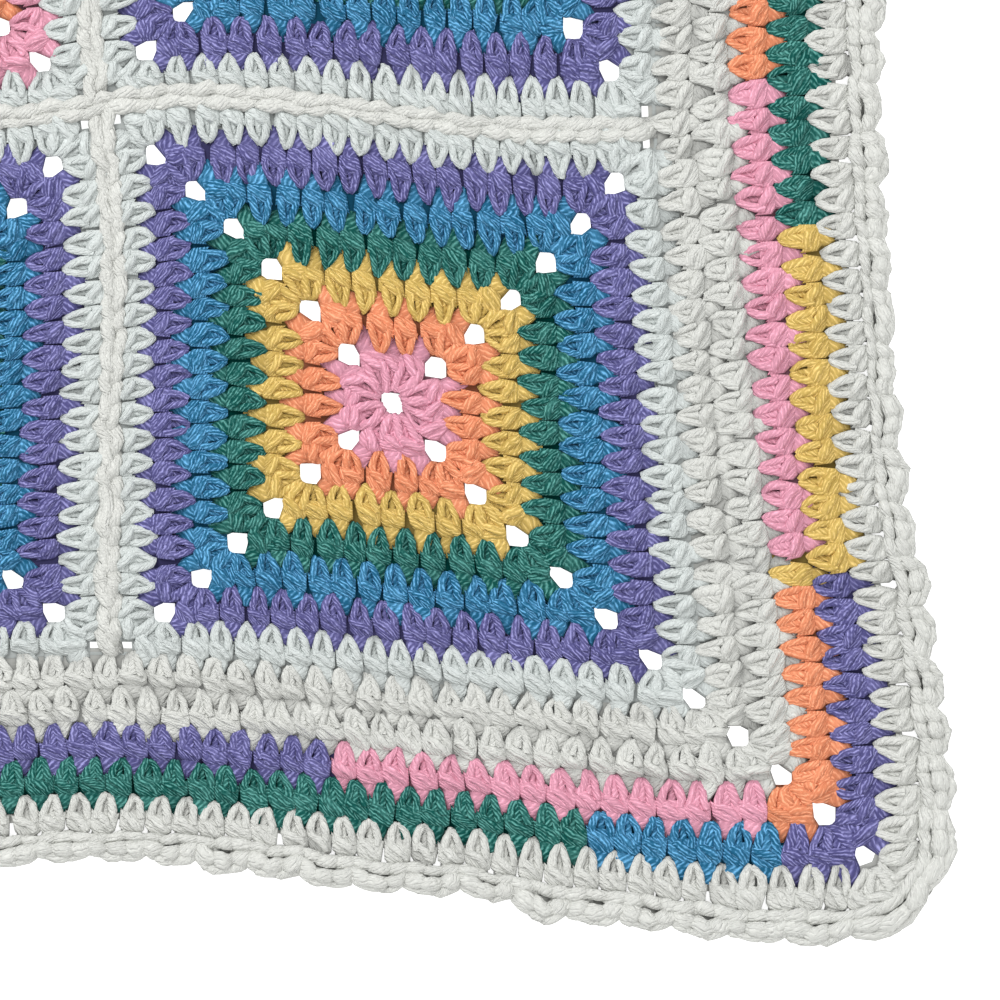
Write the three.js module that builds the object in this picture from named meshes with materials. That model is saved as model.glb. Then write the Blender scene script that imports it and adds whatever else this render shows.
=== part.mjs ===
// A granny square blanket of nine crocheted squares, joined by raised seams and framed by a
// six-round border. It lies flat on z = 0 with one corner pulled outwards. Units are millimetres,
// +Z is up, and the origin is at the middle of the footprint, on the surface it rests on.
import * as THREE from 'three';

// ---- Driving dimensions ------------------------------------------------------------------
const squaresPerSide = 3;
const squareRounds = 7;
const borderRounds = 6;
const roundHeight = 10.5;
const centreClearance = 1.05;
const squarePitch = 157;
const squareEdgeAllowance = 1.25;
const pieceGap = 0.3;

const clothThickness = 4;
const seamTop = 5.4;
const seamShoulder = 3.8;
const seamCrown = 2.2;

const cornerHoleHalf = 2.5;
const cornerHoleCut = 1.2;
const centreHoleRadius = 2.5;
const centreHoleSides = 8;
const holedBorderRounds = 4;
const squareCornerCut = 3.2;
const innerCornerNotch = 2.4;

const edgingHeight = 10.4;
const scallopLength = 14;
const scallopDepth = 1.5;
const borderCornerRadius = 23;

const edgeStep = 13;

// How far each landmark of the pulled corner lies from its place in the even grid.
// along and up are measured from the middle of the corner square.
const cornerPulls = [
  { along: 0, up: 0, moveX: 0, moveY: 0 },
  { along: -32.5, up: 32.5, moveX: -0.5, moveY: 4.1 },
  { along: 32.5, up: 32.5, moveX: -0.3, moveY: -4.6 },
  { along: -32.5, up: -32.5, moveX: 0, moveY: 4 },
  { along: 32.5, up: -32.5, moveX: 1.4, moveY: -3.9 },
  { along: -64, up: 64, moveX: -0.3, moveY: 3.6 },
  { along: 64, up: 64, moveX: -3.8, moveY: -4.3 },
  { along: -64, up: -64, moveX: 2.1, moveY: 7 },
  { along: 64, up: -64, moveX: 6.3, moveY: -5.8 },
  { along: 85, up: -85, moveX: 9, moveY: -6.5 },
  { along: 116.5, up: -116.5, moveX: 12, moveY: -5.2 },
  { along: 137.5, up: 110, moveX: -4.9, moveY: -2 },
  { along: 137.5, up: 12, moveX: 0.8, moveY: -4.5 },
  { along: 137.5, up: -64, moveX: 10.5, moveY: -5.5 },
  { along: 137.5, up: -108, moveX: 17, moveY: -5.5 },
  { along: -107, up: -137.5, moveX: 1, moveY: 10.9 },
  { along: -74, up: -137.5, moveX: 2, moveY: 12.6 },
  { along: -20, up: -137.5, moveX: 3, moveY: 6.8 },
  { along: 46, up: -137.5, moveX: 6, moveY: -2.7 },
  { along: 108, up: -137.5, moveX: 11, moveY: -12.5 },
  { along: -93, up: 64, moveX: 0.5, moveY: 0.3 },
  { along: -93, up: -64, moveX: 0.3, moveY: 7.1 },
  { along: 64, up: 93, moveX: -4.9, moveY: -2.2 },
  { along: -64, up: 93, moveX: -3, moveY: 3.3 },
  { along: -93, up: 93, moveX: -3, moveY: 0.3 },
];
const pullReach = 62;
const pullSoftness = 0.03;

// Small local pulls on top of those, each fading out over its own reach along and up.
const nearPulls = [
  { along: -60, up: 79, moveX: 0, moveY: 1.6, reachX: 24, reachY: 9 },
  { along: 14, up: 82, moveX: 0, moveY: -1.1, reachX: 20, reachY: 10 },
  { along: 36, up: 83, moveX: 0, moveY: -1.3, reachX: 18, reachY: 10 },
  { along: 60, up: 80, moveX: 0, moveY: -0.7, reachX: 16, reachY: 9 },
  { along: -78.5, up: 48, moveX: 1, moveY: 0, reachX: 9, reachY: 22 },
  { along: -78.5, up: 14, moveX: 1.3, moveY: 0, reachX: 9, reachY: 24 },
  { along: -78.5, up: -24, moveX: 1.4, moveY: 0, reachX: 9, reachY: 22 },
  { along: 66, up: 40, moveX: 0.9, moveY: 0, reachX: 14, reachY: 20 },
  { along: 66, up: 3, moveX: 0.9, moveY: 0, reachX: 14, reachY: 24 },
  { along: 66, up: -34, moveX: 1, moveY: 0, reachX: 14, reachY: 18 },
  { along: 118, up: 33, moveX: 1.1, moveY: 0, reachX: 12, reachY: 16 },
  { along: 137.5, up: 92, moveX: 1.8, moveY: 0, reachX: 14, reachY: 26 },
  { along: 137.5, up: -44, moveX: 2, moveY: 0, reachX: 14, reachY: 14 },
  { along: -8, up: -137.5, moveX: 0, moveY: -2, reachX: 15, reachY: 14 },
  { along: 38, up: -137.5, moveX: 0, moveY: -3, reachX: 16, reachY: 14 },
];

// The slow waver of the rest of the cloth, which fades out towards the pulled corner.
const waverSize = 1.8;
const waverLength = 37;
const waverClearance = 190;

// ---- Worked-out sizes --------------------------------------------------------------------
const holeLine = (round) => roundHeight * round + centreClearance;
const squareHalf = holeLine(squareRounds) + squareEdgeAllowance;
const cornerSquareAt = squarePitch * (squaresPerSide - 1) / 2;
const borderInnerHalf = cornerSquareAt + squareHalf + pieceGap;
const borderOuterHalf = cornerSquareAt + holeLine(squareRounds + borderRounds - 1) + edgingHeight;
const seamHalfWidth = squarePitch / 2 - squareHalf - pieceGap;
const cornerSquare = { x: cornerSquareAt, y: -cornerSquareAt };

// ---- The lie of the cloth ----------------------------------------------------------------
function pullWeight(distance) {
  return Math.exp(-((distance / pullReach) ** 2));
}

// Solves matrix * weights = target by elimination, with the larger pivot first.
function solve(matrix, target) {
  const rows = matrix.map((row, i) => [...row, target[i]]);
  const size = rows.length;
  for (let column = 0; column < size; column++) {
    let best = column;
    for (let r = column + 1; r < size; r++) {
      if (Math.abs(rows[r][column]) > Math.abs(rows[best][column])) best = r;
    }
    [rows[column], rows[best]] = [rows[best], rows[column]];
    for (let r = column + 1; r < size; r++) {
      const factor = rows[r][column] / rows[column][column];
      for (let c = column; c <= size; c++) rows[r][c] -= factor * rows[column][c];
    }
  }
  const weights = new Array(size).fill(0);
  for (let r = size - 1; r >= 0; r--) {
    let rest = rows[r][size];
    for (let c = r + 1; c < size; c++) rest -= rows[r][c] * weights[c];
    weights[r] = rest / rows[r][r];
  }
  return weights;
}

const pullMatrix = cornerPulls.map((a, i) => cornerPulls.map((b, j) => {
  const closeness = pullWeight(Math.hypot(a.along - b.along, a.up - b.up));
  return closeness + (i === j ? pullSoftness : 0);
}));
const pullX = solve(pullMatrix, cornerPulls.map((pull) => pull.moveX));
const pullY = solve(pullMatrix, cornerPulls.map((pull) => pull.moveY));

// Where a point of the even grid lies on the surface, before the blanket is centred.
function lie(x, y) {
  const along = x - cornerSquare.x;
  const up = y - cornerSquare.y;
  const loose = 1 - Math.exp(-((Math.hypot(along, up) / waverClearance) ** 4));
  let placedX = x + loose * waverSize * Math.sin(y / waverLength + 0.7);
  let placedY = y + loose * waverSize * Math.sin(x / waverLength + 2.1);
  cornerPulls.forEach((pull, i) => {
    const weight = pullWeight(Math.hypot(along - pull.along, up - pull.up));
    placedX += weight * pullX[i];
    placedY += weight * pullY[i];
  });
  nearPulls.forEach((pull) => {
    const away = Math.hypot((along - pull.along) / pull.reachX, (up - pull.up) / pull.reachY);
    const weight = Math.exp(-(away ** 2));
    placedX += weight * pull.moveX;
    placedY += weight * pull.moveY;
  });
  return new THREE.Vector2(placedX, placedY);
}

// ---- Outlines in the even grid -----------------------------------------------------------
// Points from a to b, without b, about edgeStep apart.
function run(a, b, step = edgeStep) {
  const count = Math.max(1, Math.round(a.distanceTo(b) / step));
  return Array.from({ length: count }, (_, i) => a.clone().lerp(b, i / count));
}

function squareOutline(centreX, centreY) {
  const reach = squareHalf;
  const cut = squareHalf - squareCornerCut;
  const corners = [
    [cut, -reach], [reach, -cut], [reach, cut], [cut, reach],
    [-cut, reach], [-reach, cut], [-reach, -cut], [-cut, -reach],
  ].map(([x, y]) => new THREE.Vector2(centreX + x, centreY + y));
  return corners.flatMap((corner, i) => run(corner, corners[(i + 1) % corners.length]));
}

// The inside edge of the border, with a small notch at each corner where its first fan is worked.
function borderInside() {
  const reach = borderInnerHalf;
  const notch = reach + innerCornerNotch;
  const back = reach - innerCornerNotch;
  const corners = [
    [back, -reach], [notch - 0.8, -reach - 0.6], [notch, -notch], [reach + 0.6, -notch + 0.8], [reach, -back],
  ];
  const outline = [];
  for (let side = 0; side < 4; side++) {
    const turned = corners.map(([x, y]) => quarterTurn(x, y, side));
    const next = quarterTurn(back, -reach, side + 1);
    outline.push(...turned.slice(0, 4), ...run(turned[4], next));
  }
  return outline;
}

function quarterTurn(x, y, turns) {
  const point = new THREE.Vector2(x, y);
  for (let i = 0; i < turns % 4; i++) point.set(-point.y, point.x);
  return point;
}

// The outside edge of the border: shallow scallops along four sides and round four corners.
function borderOutside() {
  const straight = borderOuterHalf - borderCornerRadius;
  const quarter = borderCornerRadius * Math.PI / 2;
  const sideLength = 2 * straight + quarter;
  const scallops = Math.round(sideLength / scallopLength);
  const pointsEach = 4;
  const outline = [];
  for (let side = 0; side < 4; side++) {
    for (let i = 0; i < scallops * pointsEach; i++) {
      const travelled = sideLength * i / (scallops * pointsEach);
      const dip = scallopDepth * Math.abs(Math.cos(Math.PI * i / pointsEach)) ** 3;
      outline.push(quarterTurn(...borderEdgePoint(travelled, straight, dip), side));
    }
  }
  return outline;
}

// A point on the right-hand side, going up it and then round its upper corner.
function borderEdgePoint(travelled, straight, dip) {
  if (travelled < 2 * straight) return [borderOuterHalf - dip, travelled - straight];
  const angle = (travelled - 2 * straight) / borderCornerRadius;
  const radius = borderCornerRadius - dip;
  return [straight + radius * Math.cos(angle), straight + radius * Math.sin(angle)];
}

// The round hole in the middle of a square.
function centreHole(x, y) {
  return Array.from({ length: centreHoleSides }, (_, i) => {
    const angle = 2 * Math.PI * i / centreHoleSides;
    const outward = new THREE.Vector2(Math.cos(angle), Math.sin(angle));
    return outward.multiplyScalar(centreHoleRadius).add(new THREE.Vector2(x, y));
  });
}

// The square openings at the corners of a round, each with its own corners cut.
function cornerHoles(centreX, centreY, reach) {
  const half = cornerHoleHalf;
  const uncut = cornerHoleHalf - cornerHoleCut;
  return [0, 1, 2, 3].map((corner) => {
    const place = quarterTurn(reach, reach, corner);
    return [0, 1, 2, 3].flatMap((turn) => [[half, -uncut], [half, uncut]].map(([x, y]) => (
      quarterTurn(x, y, turn).add(new THREE.Vector2(centreX + place.x, centreY + place.y))
    )));
  });
}

// ---- Solids ------------------------------------------------------------------------------
const outside = borderOutside().map((point) => lie(point.x, point.y));
const footprint = new THREE.Box2().setFromPoints(outside);
const middle = footprint.getCenter(new THREE.Vector2());

function place(point) {
  return lie(point.x, point.y).sub(middle);
}

function slab(outline, holes) {
  const shape = new THREE.Shape(outline.map(place));
  shape.holes = holes.map((points) => new THREE.Path(points.map(place)));
  return new THREE.ExtrudeGeometry(shape, { depth: clothThickness, bevelEnabled: false });
}

function squareGeometry(centreX, centreY) {
  const holes = [centreHole(centreX, centreY)];
  for (let round = 1; round < squareRounds; round++) {
    holes.push(...cornerHoles(centreX, centreY, holeLine(round)));
  }
  return slab(squareOutline(centreX, centreY), holes);
}

function borderGeometry() {
  const holes = [borderInside()];
  for (let round = 1; round <= holedBorderRounds; round++) {
    const reach = cornerSquareAt + holeLine(squareRounds + round);
    holes.push(...cornerHoles(0, 0, reach));
  }
  return slab(borderOutside(), holes);
}

// A ridge along a straight run of the even grid, with a crowned top. side points to its left.
function seamGeometry(from, to) {
  const stations = [...run(from, to), to];
  const side = to.clone().sub(from).normalize().rotateAround(new THREE.Vector2(), Math.PI / 2);
  const section = [
    [seamHalfWidth, 0], [seamHalfWidth, seamShoulder], [seamCrown / 2, seamTop],
    [-seamCrown / 2, seamTop], [-seamHalfWidth, seamShoulder], [-seamHalfWidth, 0],
  ];
  const positions = [];
  for (const station of stations) {
    for (const [offset, height] of section) {
      const point = place(station.clone().addScaledVector(side, offset));
      positions.push(point.x, point.y, height);
    }
  }
  const index = [];
  const count = section.length;
  for (let s = 0; s + 1 < stations.length; s++) {
    for (let k = 0; k < count; k++) {
      const a = s * count + k;
      const b = s * count + (k + 1) % count;
      index.push(a, b, b + count, a, b + count, a + count);
    }
  }
  const last = (stations.length - 1) * count;
  for (let k = 1; k + 1 < count; k++) {
    index.push(0, k + 1, k);
    index.push(last, last + k, last + k + 1);
  }
  const geometry = new THREE.BufferGeometry();
  geometry.setAttribute('position', new THREE.Float32BufferAttribute(positions, 3));
  geometry.setIndex(index);
  geometry.computeVertexNormals();
  return geometry;
}

// ---- The blanket -------------------------------------------------------------------------
const squareYarn = new THREE.MeshStandardMaterial({ color: 0x4b78a8, roughness: 0.95, metalness: 0 });
const middleYarn = new THREE.MeshStandardMaterial({ color: 0xd9a25c, roughness: 0.95, metalness: 0 });
const seamYarn = new THREE.MeshStandardMaterial({ color: 0xf2f1ec, roughness: 0.95, metalness: 0 });
const borderYarn = new THREE.MeshStandardMaterial({ color: 0xe6e4de, roughness: 0.95, metalness: 0 });

const group = new THREE.Group();

function addPiece(name, geometry, material) {
  const mesh = new THREE.Mesh(geometry, material);
  mesh.name = name;
  group.add(mesh);
}

// Rows are counted from the top and columns from the left.
for (let row = 0; row < squaresPerSide; row++) {
  for (let column = 0; column < squaresPerSide; column++) {
    const x = (column - (squaresPerSide - 1) / 2) * squarePitch;
    const y = ((squaresPerSide - 1) / 2 - row) * squarePitch;
    const isMiddle = row === 1 && column === 1;
    addPiece(`square_${row + 1}_${column + 1}`, squareGeometry(x, y), isMiddle ? middleYarn : squareYarn);
  }
}

// The seams across run the whole width, and those up stop at each of them.
const seamReach = cornerSquareAt + squareHalf;
for (let line = 0; line + 1 < squaresPerSide; line++) {
  const level = (squaresPerSide / 2 - 1 - line) * squarePitch;
  const across = seamGeometry(new THREE.Vector2(-seamReach, level), new THREE.Vector2(seamReach, level));
  addPiece(`seam_across_${line + 1}`, across, seamYarn);
  for (let row = 0; row < squaresPerSide; row++) {
    const middleY = ((squaresPerSide - 1) / 2 - row) * squarePitch;
    const lower = new THREE.Vector2(-level, middleY - squareHalf);
    const upper = new THREE.Vector2(-level, middleY + squareHalf);
    addPiece(`seam_up_${line + 1}_${row + 1}`, seamGeometry(lower, upper), seamYarn);
  }
}

addPiece('border', borderGeometry(), borderYarn);

export default group;
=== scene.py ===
"""Looks of the granny square blanket: every stitch of its squares, seams and border, in yarn.

Lengths are in millimetres until a mesh is made, and in metres from there on. A stitch is worked
out in its own frame (across, outward, height), placed in the even grid of the blanket, and the
whole grid is then laid down by lie(), the same way as the CAD solids.
"""
import math

import bpy
import numpy as np
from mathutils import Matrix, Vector

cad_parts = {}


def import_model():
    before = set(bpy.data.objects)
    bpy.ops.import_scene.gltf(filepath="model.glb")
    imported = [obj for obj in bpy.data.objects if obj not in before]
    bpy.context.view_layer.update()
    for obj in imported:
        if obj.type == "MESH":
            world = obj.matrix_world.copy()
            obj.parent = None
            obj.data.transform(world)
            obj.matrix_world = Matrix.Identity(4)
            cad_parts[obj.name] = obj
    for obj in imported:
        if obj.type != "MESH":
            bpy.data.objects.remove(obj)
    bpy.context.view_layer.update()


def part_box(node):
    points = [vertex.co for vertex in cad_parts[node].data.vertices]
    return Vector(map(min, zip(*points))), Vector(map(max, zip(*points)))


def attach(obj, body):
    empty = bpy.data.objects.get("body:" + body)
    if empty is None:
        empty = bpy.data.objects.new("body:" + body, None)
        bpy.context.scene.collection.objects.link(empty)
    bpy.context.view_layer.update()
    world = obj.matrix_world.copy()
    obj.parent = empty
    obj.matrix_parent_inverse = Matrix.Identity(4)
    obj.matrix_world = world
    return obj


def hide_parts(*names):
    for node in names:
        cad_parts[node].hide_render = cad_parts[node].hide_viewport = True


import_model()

# ---- Driving dimensions, as in the CAD part ------------------------------------------------
MM = 0.001
SQUARES = 3
SQUARE_ROUNDS = 7
BORDER_ROUNDS = 5
ROUND_HEIGHT = 10.5
CENTRE_CLEARANCE = 1.05
SQUARE_PITCH = 157.0
SQUARE_EDGE = 1.25
PIECE_GAP = 0.3
STITCH_PITCH = 7.0
EDGING_HEIGHT = 10.4
SCALLOP_LENGTH = 13.98
FIRST_SCALLOP = 16.4
SIDE_SCALLOPS = 37
CORNER_SCALLOPS = 3
BORDER_CORNER_RADIUS = 23.0

# Where the stitches of a round start and end, past the lines of the corner holes.
TIP_PAST_LINE = 1.6
CAP_PAST_LINE = 2.2
STITCH_LENGTH = ROUND_HEIGHT - TIP_PAST_LINE + CAP_PAST_LINE

# Half the size of the openings: where stitches and ground start, and what is kept clear of yarn.
HOLE_RIM = 2.8
HOLE_CLEARANCE = 2.8
CENTRE_RIM = HOLE_RIM + 0.2
SEAM_END_HOLE = 1.5

# How far the last stitches of a side are from its end, in a square and in the border, and how
# many stitches each round of a square adds to a side.
LAST_STITCH_INSET = 4.55
BORDER_STITCH_INSET = 2.85
STITCHES_ADDED = 3

# How much wider than others the last stitches of a side are, and those of the border.
CORNER_BREADTH = 1.12
BORDER_BREADTH = 1.06

# The thin ground under the stitches, and how far it goes in under the next piece.
GROUND_LOW = 0.9
GROUND_HIGH = 1.7
BORDER_GROUND_DROP = 0.15
GROUND_UNDERLAP = 1.2

# Pulls of the landmarks of the pulled corner: along, up, moveX, moveY, as in the CAD part.
CORNER_PULLS = np.array([
    (0, 0, 0, 0),
    (-32.5, 32.5, -0.5, 4.1),
    (32.5, 32.5, -0.3, -4.6),
    (-32.5, -32.5, 0, 4),
    (32.5, -32.5, 1.4, -3.9),
    (-64, 64, -0.3, 3.6),
    (64, 64, -3.8, -4.3),
    (-64, -64, 2.1, 7),
    (64, -64, 6.3, -5.8),
    (85, -85, 9, -6.5),
    (116.5, -116.5, 12, -5.2),
    (137.5, 110, -4.9, -2),
    (137.5, 12, 0.8, -4.5),
    (137.5, -64, 10.5, -5.5),
    (137.5, -108, 17, -5.5),
    (-107, -137.5, 1, 10.9),
    (-74, -137.5, 2, 12.6),
    (-20, -137.5, 3, 6.8),
    (46, -137.5, 6, -2.7),
    (108, -137.5, 11, -12.5),
    (-93, 64, 0.5, 0.3),
    (-93, -64, 0.3, 7.1),
    (64, 93, -4.9, -2.2),
    (-64, 93, -3, 3.3),
    (-93, 93, -3, 0.3),
])
PULL_REACH = 62.0
PULL_SOFTNESS = 0.03

# Small local pulls on top: along, up, moveX, moveY, reachX, reachY, as in the CAD part.
NEAR_PULLS = np.array([
    (-60, 79, 0, 1.6, 24, 9),
    (14, 82, 0, -1.1, 20, 10),
    (36, 83, 0, -1.3, 18, 10),
    (60, 80, 0, -0.7, 16, 9),
    (-78.5, 48, 1, 0, 9, 22),
    (-78.5, 14, 1.3, 0, 9, 24),
    (-78.5, -24, 1.4, 0, 9, 22),
    (66, 40, 0.9, 0, 14, 20),
    (66, 3, 0.9, 0, 14, 24),
    (66, -34, 1, 0, 14, 18),
    (118, 33, 1.1, 0, 12, 16),
    (137.5, 92, 1.8, 0, 14, 26),
    (137.5, -44, 2, 0, 14, 14),
    (-8, -137.5, 0, -2, 15, 14),
    (38, -137.5, 0, -3, 16, 14),
])

# A slow waver that goes on away from the pulled corner.
WAVER_SIZE = 1.8
WAVER_LENGTH = 37.0
WAVER_CLEARANCE = 190.0
WAVER_PHASE_X = 0.7
WAVER_PHASE_Y = 2.1

CORNER_SQUARE_AT = SQUARE_PITCH * (SQUARES - 1) / 2
SEED = 7
random = np.random.default_rng(SEED)


def hole_line(number):
    """How far a square round's line of corner holes is from the square's middle."""
    return ROUND_HEIGHT * number + CENTRE_CLEARANCE


def border_line(number):
    """How far a border round's line of corner holes is from the blanket's middle.

    Number 0 is the line between the squares and the border.
    """
    return CORNER_SQUARE_AT + hole_line(SQUARE_ROUNDS + number)


SQUARE_HALF = hole_line(SQUARE_ROUNDS) + SQUARE_EDGE
BORDER_INNER = CORNER_SQUARE_AT + SQUARE_HALF + PIECE_GAP
BORDER_OUTER = border_line(BORDER_ROUNDS) + EDGING_HEIGHT


# ---- The lie of the cloth ------------------------------------------------------------------
def pull_weights(along, up):
    """How much each landmark's pull counts at points along and up from the corner square."""
    apart = (along[:, None] - CORNER_PULLS[:, 0]) ** 2 + (up[:, None] - CORNER_PULLS[:, 1]) ** 2
    return np.exp(-apart / PULL_REACH ** 2)


closeness = pull_weights(CORNER_PULLS[:, 0], CORNER_PULLS[:, 1])
softened = closeness + PULL_SOFTNESS * np.eye(len(CORNER_PULLS))
PULLS = np.linalg.solve(softened, CORNER_PULLS[:, 2:])


def lie(points):
    """Where points (N, 2) of the even grid lie, before the blanket is centred."""
    x = points[:, 0]
    y = points[:, 1]
    along = x - CORNER_SQUARE_AT
    up = y + CORNER_SQUARE_AT
    loose = 1 - np.exp(-(np.hypot(along, up) / WAVER_CLEARANCE) ** 4)
    waver_x = loose * WAVER_SIZE * np.sin(y / WAVER_LENGTH + WAVER_PHASE_X)
    waver_y = loose * WAVER_SIZE * np.sin(x / WAVER_LENGTH + WAVER_PHASE_Y)
    pulled = pull_weights(along, up) @ PULLS
    away = np.hypot((along[:, None] - NEAR_PULLS[:, 0]) / NEAR_PULLS[:, 4],
                    (up[:, None] - NEAR_PULLS[:, 1]) / NEAR_PULLS[:, 5])
    pulled = pulled + np.exp(-away ** 2) @ NEAR_PULLS[:, 2:4]
    return np.stack([x + waver_x, y + waver_y], axis=1) + pulled


def quarter_turns(points, turns):
    """points (..., 2) turned clockwise by quarter turns about the blanket's middle."""
    x = points[..., 0]
    y = points[..., 1]
    for _ in range(turns % 4):
        x, y = y, -x
    return np.stack([x, y], axis=-1)


OUTLINE_SAMPLES = 800


def centring():
    """What centres the laid grid, because the CAD border's middle is the origin."""
    straight = BORDER_OUTER - BORDER_CORNER_RADIUS
    along = np.linspace(-straight, straight, OUTLINE_SAMPLES)
    side = np.stack([np.full(OUTLINE_SAMPLES, BORDER_OUTER), along], axis=1)
    outline = np.concatenate([lie(quarter_turns(side, turns)) for turns in range(4)])
    lowest = outline.min(axis=0)
    highest = outline.max(axis=0)
    low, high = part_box("border")
    cad_middle = np.array([(low.x + high.x) / 2, (low.y + high.y) / 2]) / MM
    return (lowest + highest) / 2 - cad_middle


MIDDLE = centring()


def laid(points):
    """Points (N, 3) of the even grid in millimetres, laid down, in metres."""
    flat = lie(points[:, :2]) - MIDDLE
    return np.column_stack([flat, points[:, 2]]) * MM


# ---- Unevenness ----------------------------------------------------------------------------
CRUMPLE_WAVES = 14
CRUMPLE_SHORTEST = 4.5
CRUMPLE_LONGEST = 15.0
crumple_turn = random.uniform(0, 2 * np.pi, CRUMPLE_WAVES)
crumple_length = random.uniform(CRUMPLE_SHORTEST, CRUMPLE_LONGEST, CRUMPLE_WAVES)
crumple_heading = np.array([np.cos(crumple_turn), np.sin(crumple_turn)])
CRUMPLE_ALONG = 2 * np.pi / crumple_length * crumple_heading
CRUMPLE_PHASE = random.uniform(0, 2 * np.pi, (3, CRUMPLE_WAVES))
CRUMPLE_SHARE = random.normal(0, 1, (3, CRUMPLE_WAVES))
CRUMPLE_SHARE /= np.linalg.norm(CRUMPLE_SHARE, axis=1)[:, None] / math.sqrt(2)


def crumple(points, size):
    """Moves points (N, 3) about by up to a few times size, smoothly from place to place."""
    phase = points[:, :2] @ CRUMPLE_ALONG
    moves = [np.sin(phase + CRUMPLE_PHASE[axis]) @ CRUMPLE_SHARE[axis] for axis in range(3)]
    moved = points + size * np.stack(moves, axis=1)
    moved[:, 2] = np.maximum(moved[:, 2], 0.0)
    return moved


# ---- Strands -------------------------------------------------------------------------------
# The pattern of plies on a strand: the width of a ply and its slant to the strand, and how far
# apart in the pattern two strands of a stitch, and two stitches, may start.
PLY_WIDTH = 0.9
PLY_SLANT = -0.55
STRAND_START = 20
COPY_START = 90

# A strand's section goes over its top, from below one side to below the other, in degrees.
SECTION_FROM = -25
SECTION_TO = 205

# The cap of a stitch. Its share goes from 0 at the near end to 1 at the far rim, and then down
# a skirt. Seen from above it is a rounded square, narrower at the near end.
DOME_SHARES = np.array([0.0, 0.3, 0.65, 0.9, 1.0, 1.0])
DOME_COLUMNS = 6
DOME_RIM = 2.2
DOME_SQUARENESS = 0.47
DOME_NEAR_WIDTH = 0.6
DOME_WIDENING = 0.4
DOME_SIDE_DRAW = 0.6
DOME_STEEPNESS = 1.9
DOME_START = 0.9
DOME_SIDE_TURN = 0.85
DOME_SIDE_POWER = 0.4


def smooth_path(points, count):
    """count points along a smooth curve through the given ones."""
    points = np.asarray(points, float)
    ends = np.vstack([2 * points[0] - points[1], points, 2 * points[-1] - points[-2]])
    steps = np.linspace(0, len(points) - 1, count)
    index = np.minimum(steps.astype(int), len(points) - 2)
    t = (steps - index)[:, None]
    p0, p1, p2, p3 = (ends[index + k] for k in range(4))
    return 0.5 * (2 * p1 + (p2 - p0) * t + (2 * p0 - 5 * p1 + 4 * p2 - p3) * t ** 2
                  + (3 * p1 - p0 - 3 * p2 + p3) * t ** 3)


def rows_of_quads(rows, columns):
    """Corner numbers of the quads of a grid of rows by columns vertices."""
    row, column = np.meshgrid(np.arange(rows - 1), np.arange(columns - 1), indexing="ij")
    corner = row.ravel() * columns + column.ravel()
    return np.stack([corner, corner + 1, corner + columns + 1, corner + columns], axis=1)


def strand(points, radii, rings, faces=4, flat=0.85, slant=PLY_SLANT):
    """A length of yarn lying on the cloth, open below: (vertices, quads, uv of their corners)."""
    path = smooth_path(points, rings)
    radius = np.interp(np.linspace(0, 1, rings), np.linspace(0, 1, len(radii)), radii)
    tangent = np.gradient(path, axis=0)
    tangent /= np.linalg.norm(tangent, axis=1)[:, None]
    beside = np.cross(tangent, (0.0, 0.0, 1.0))
    beside /= np.maximum(np.linalg.norm(beside, axis=1), 1e-6)[:, None]
    above = np.cross(beside, tangent)
    turn = np.radians(np.linspace(SECTION_FROM, SECTION_TO, faces + 1))
    offset = (np.cos(turn)[None, :, None] * beside[:, None, :]
              + flat * np.sin(turn)[None, :, None] * above[:, None, :])
    vertices = (path[:, None, :] + radius[:, None, None] * offset).reshape(-1, 3)

    travelled = np.concatenate([[0], np.cumsum(np.linalg.norm(np.diff(path, axis=0), axis=1))])
    around = turn * np.mean(radii) * (1 + flat) / 2
    along, round_it = np.meshgrid(travelled, around, indexing="ij")
    quads = rows_of_quads(rings, faces + 1)
    uv = np.stack([along.ravel(), (round_it + slant * along).ravel()], axis=1)[quads] / PLY_WIDTH
    return vertices, quads, uv


def dome(width, near, far, top, lopsided, slant):
    """The rounded mass of a stitch's cap, with a short skirt."""
    turns = np.radians(np.linspace(-90, 90, DOME_COLUMNS))
    share, turn = np.meshgrid(DOME_SHARES, turns, indexing="ij")
    sideways = np.sign(turn) * np.abs(np.sin(turn)) ** DOME_SQUARENESS
    forwards = np.cos(turn).clip(0, 1) ** DOME_SQUARENESS
    across = width * sideways * (DOME_NEAR_WIDTH + DOME_WIDENING * np.sqrt(share))
    outward = near + (far - near) * share * forwards
    outward -= DOME_SIDE_DRAW * (1 - forwards) * (share - 0.5)
    outward -= lopsided * sideways * share
    lengthwise = np.sqrt(np.clip(1 - (DOME_STEEPNESS * share - DOME_START) ** 2, 0, 1))
    rise = lengthwise * np.cos(turn * DOME_SIDE_TURN) ** DOME_SIDE_POWER
    height = DOME_RIM + (top - DOME_RIM) * rise
    height[-1] = GROUND_LOW
    vertices = np.stack([across.ravel(), outward.ravel(), height.ravel()], axis=1)
    quads = rows_of_quads(len(DOME_SHARES), DOME_COLUMNS)[:, ::-1]
    uv = np.stack([across.ravel(), (outward + slant * across).ravel()], axis=1)[quads] / PLY_WIDTH
    return vertices, quads, uv


def joined(strands):
    """Several strands as one template: (vertices, quads, uv of their corners)."""
    vertices = []
    quads = []
    uv = []
    count = 0
    for strand_vertices, strand_quads, strand_uv in strands:
        vertices.append(strand_vertices)
        quads.append(strand_quads + count)
        uv.append(strand_uv + STRAND_START * random.random(2))
        count += len(strand_vertices)
    return np.vstack(vertices), np.vstack(quads), np.concatenate(uv)


def shaken(points, amount):
    """A strand's points, each moved a little at random."""
    return np.asarray(points, float) + random.normal(0, amount, (len(points), 3))


# ---- Stitches ------------------------------------------------------------------------------
STITCH_SHAKE = 0.2
EACH_VARIANTS = 12
CLOSED_IN_MIX = 8
OPEN_IN_MIX = 4


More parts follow.
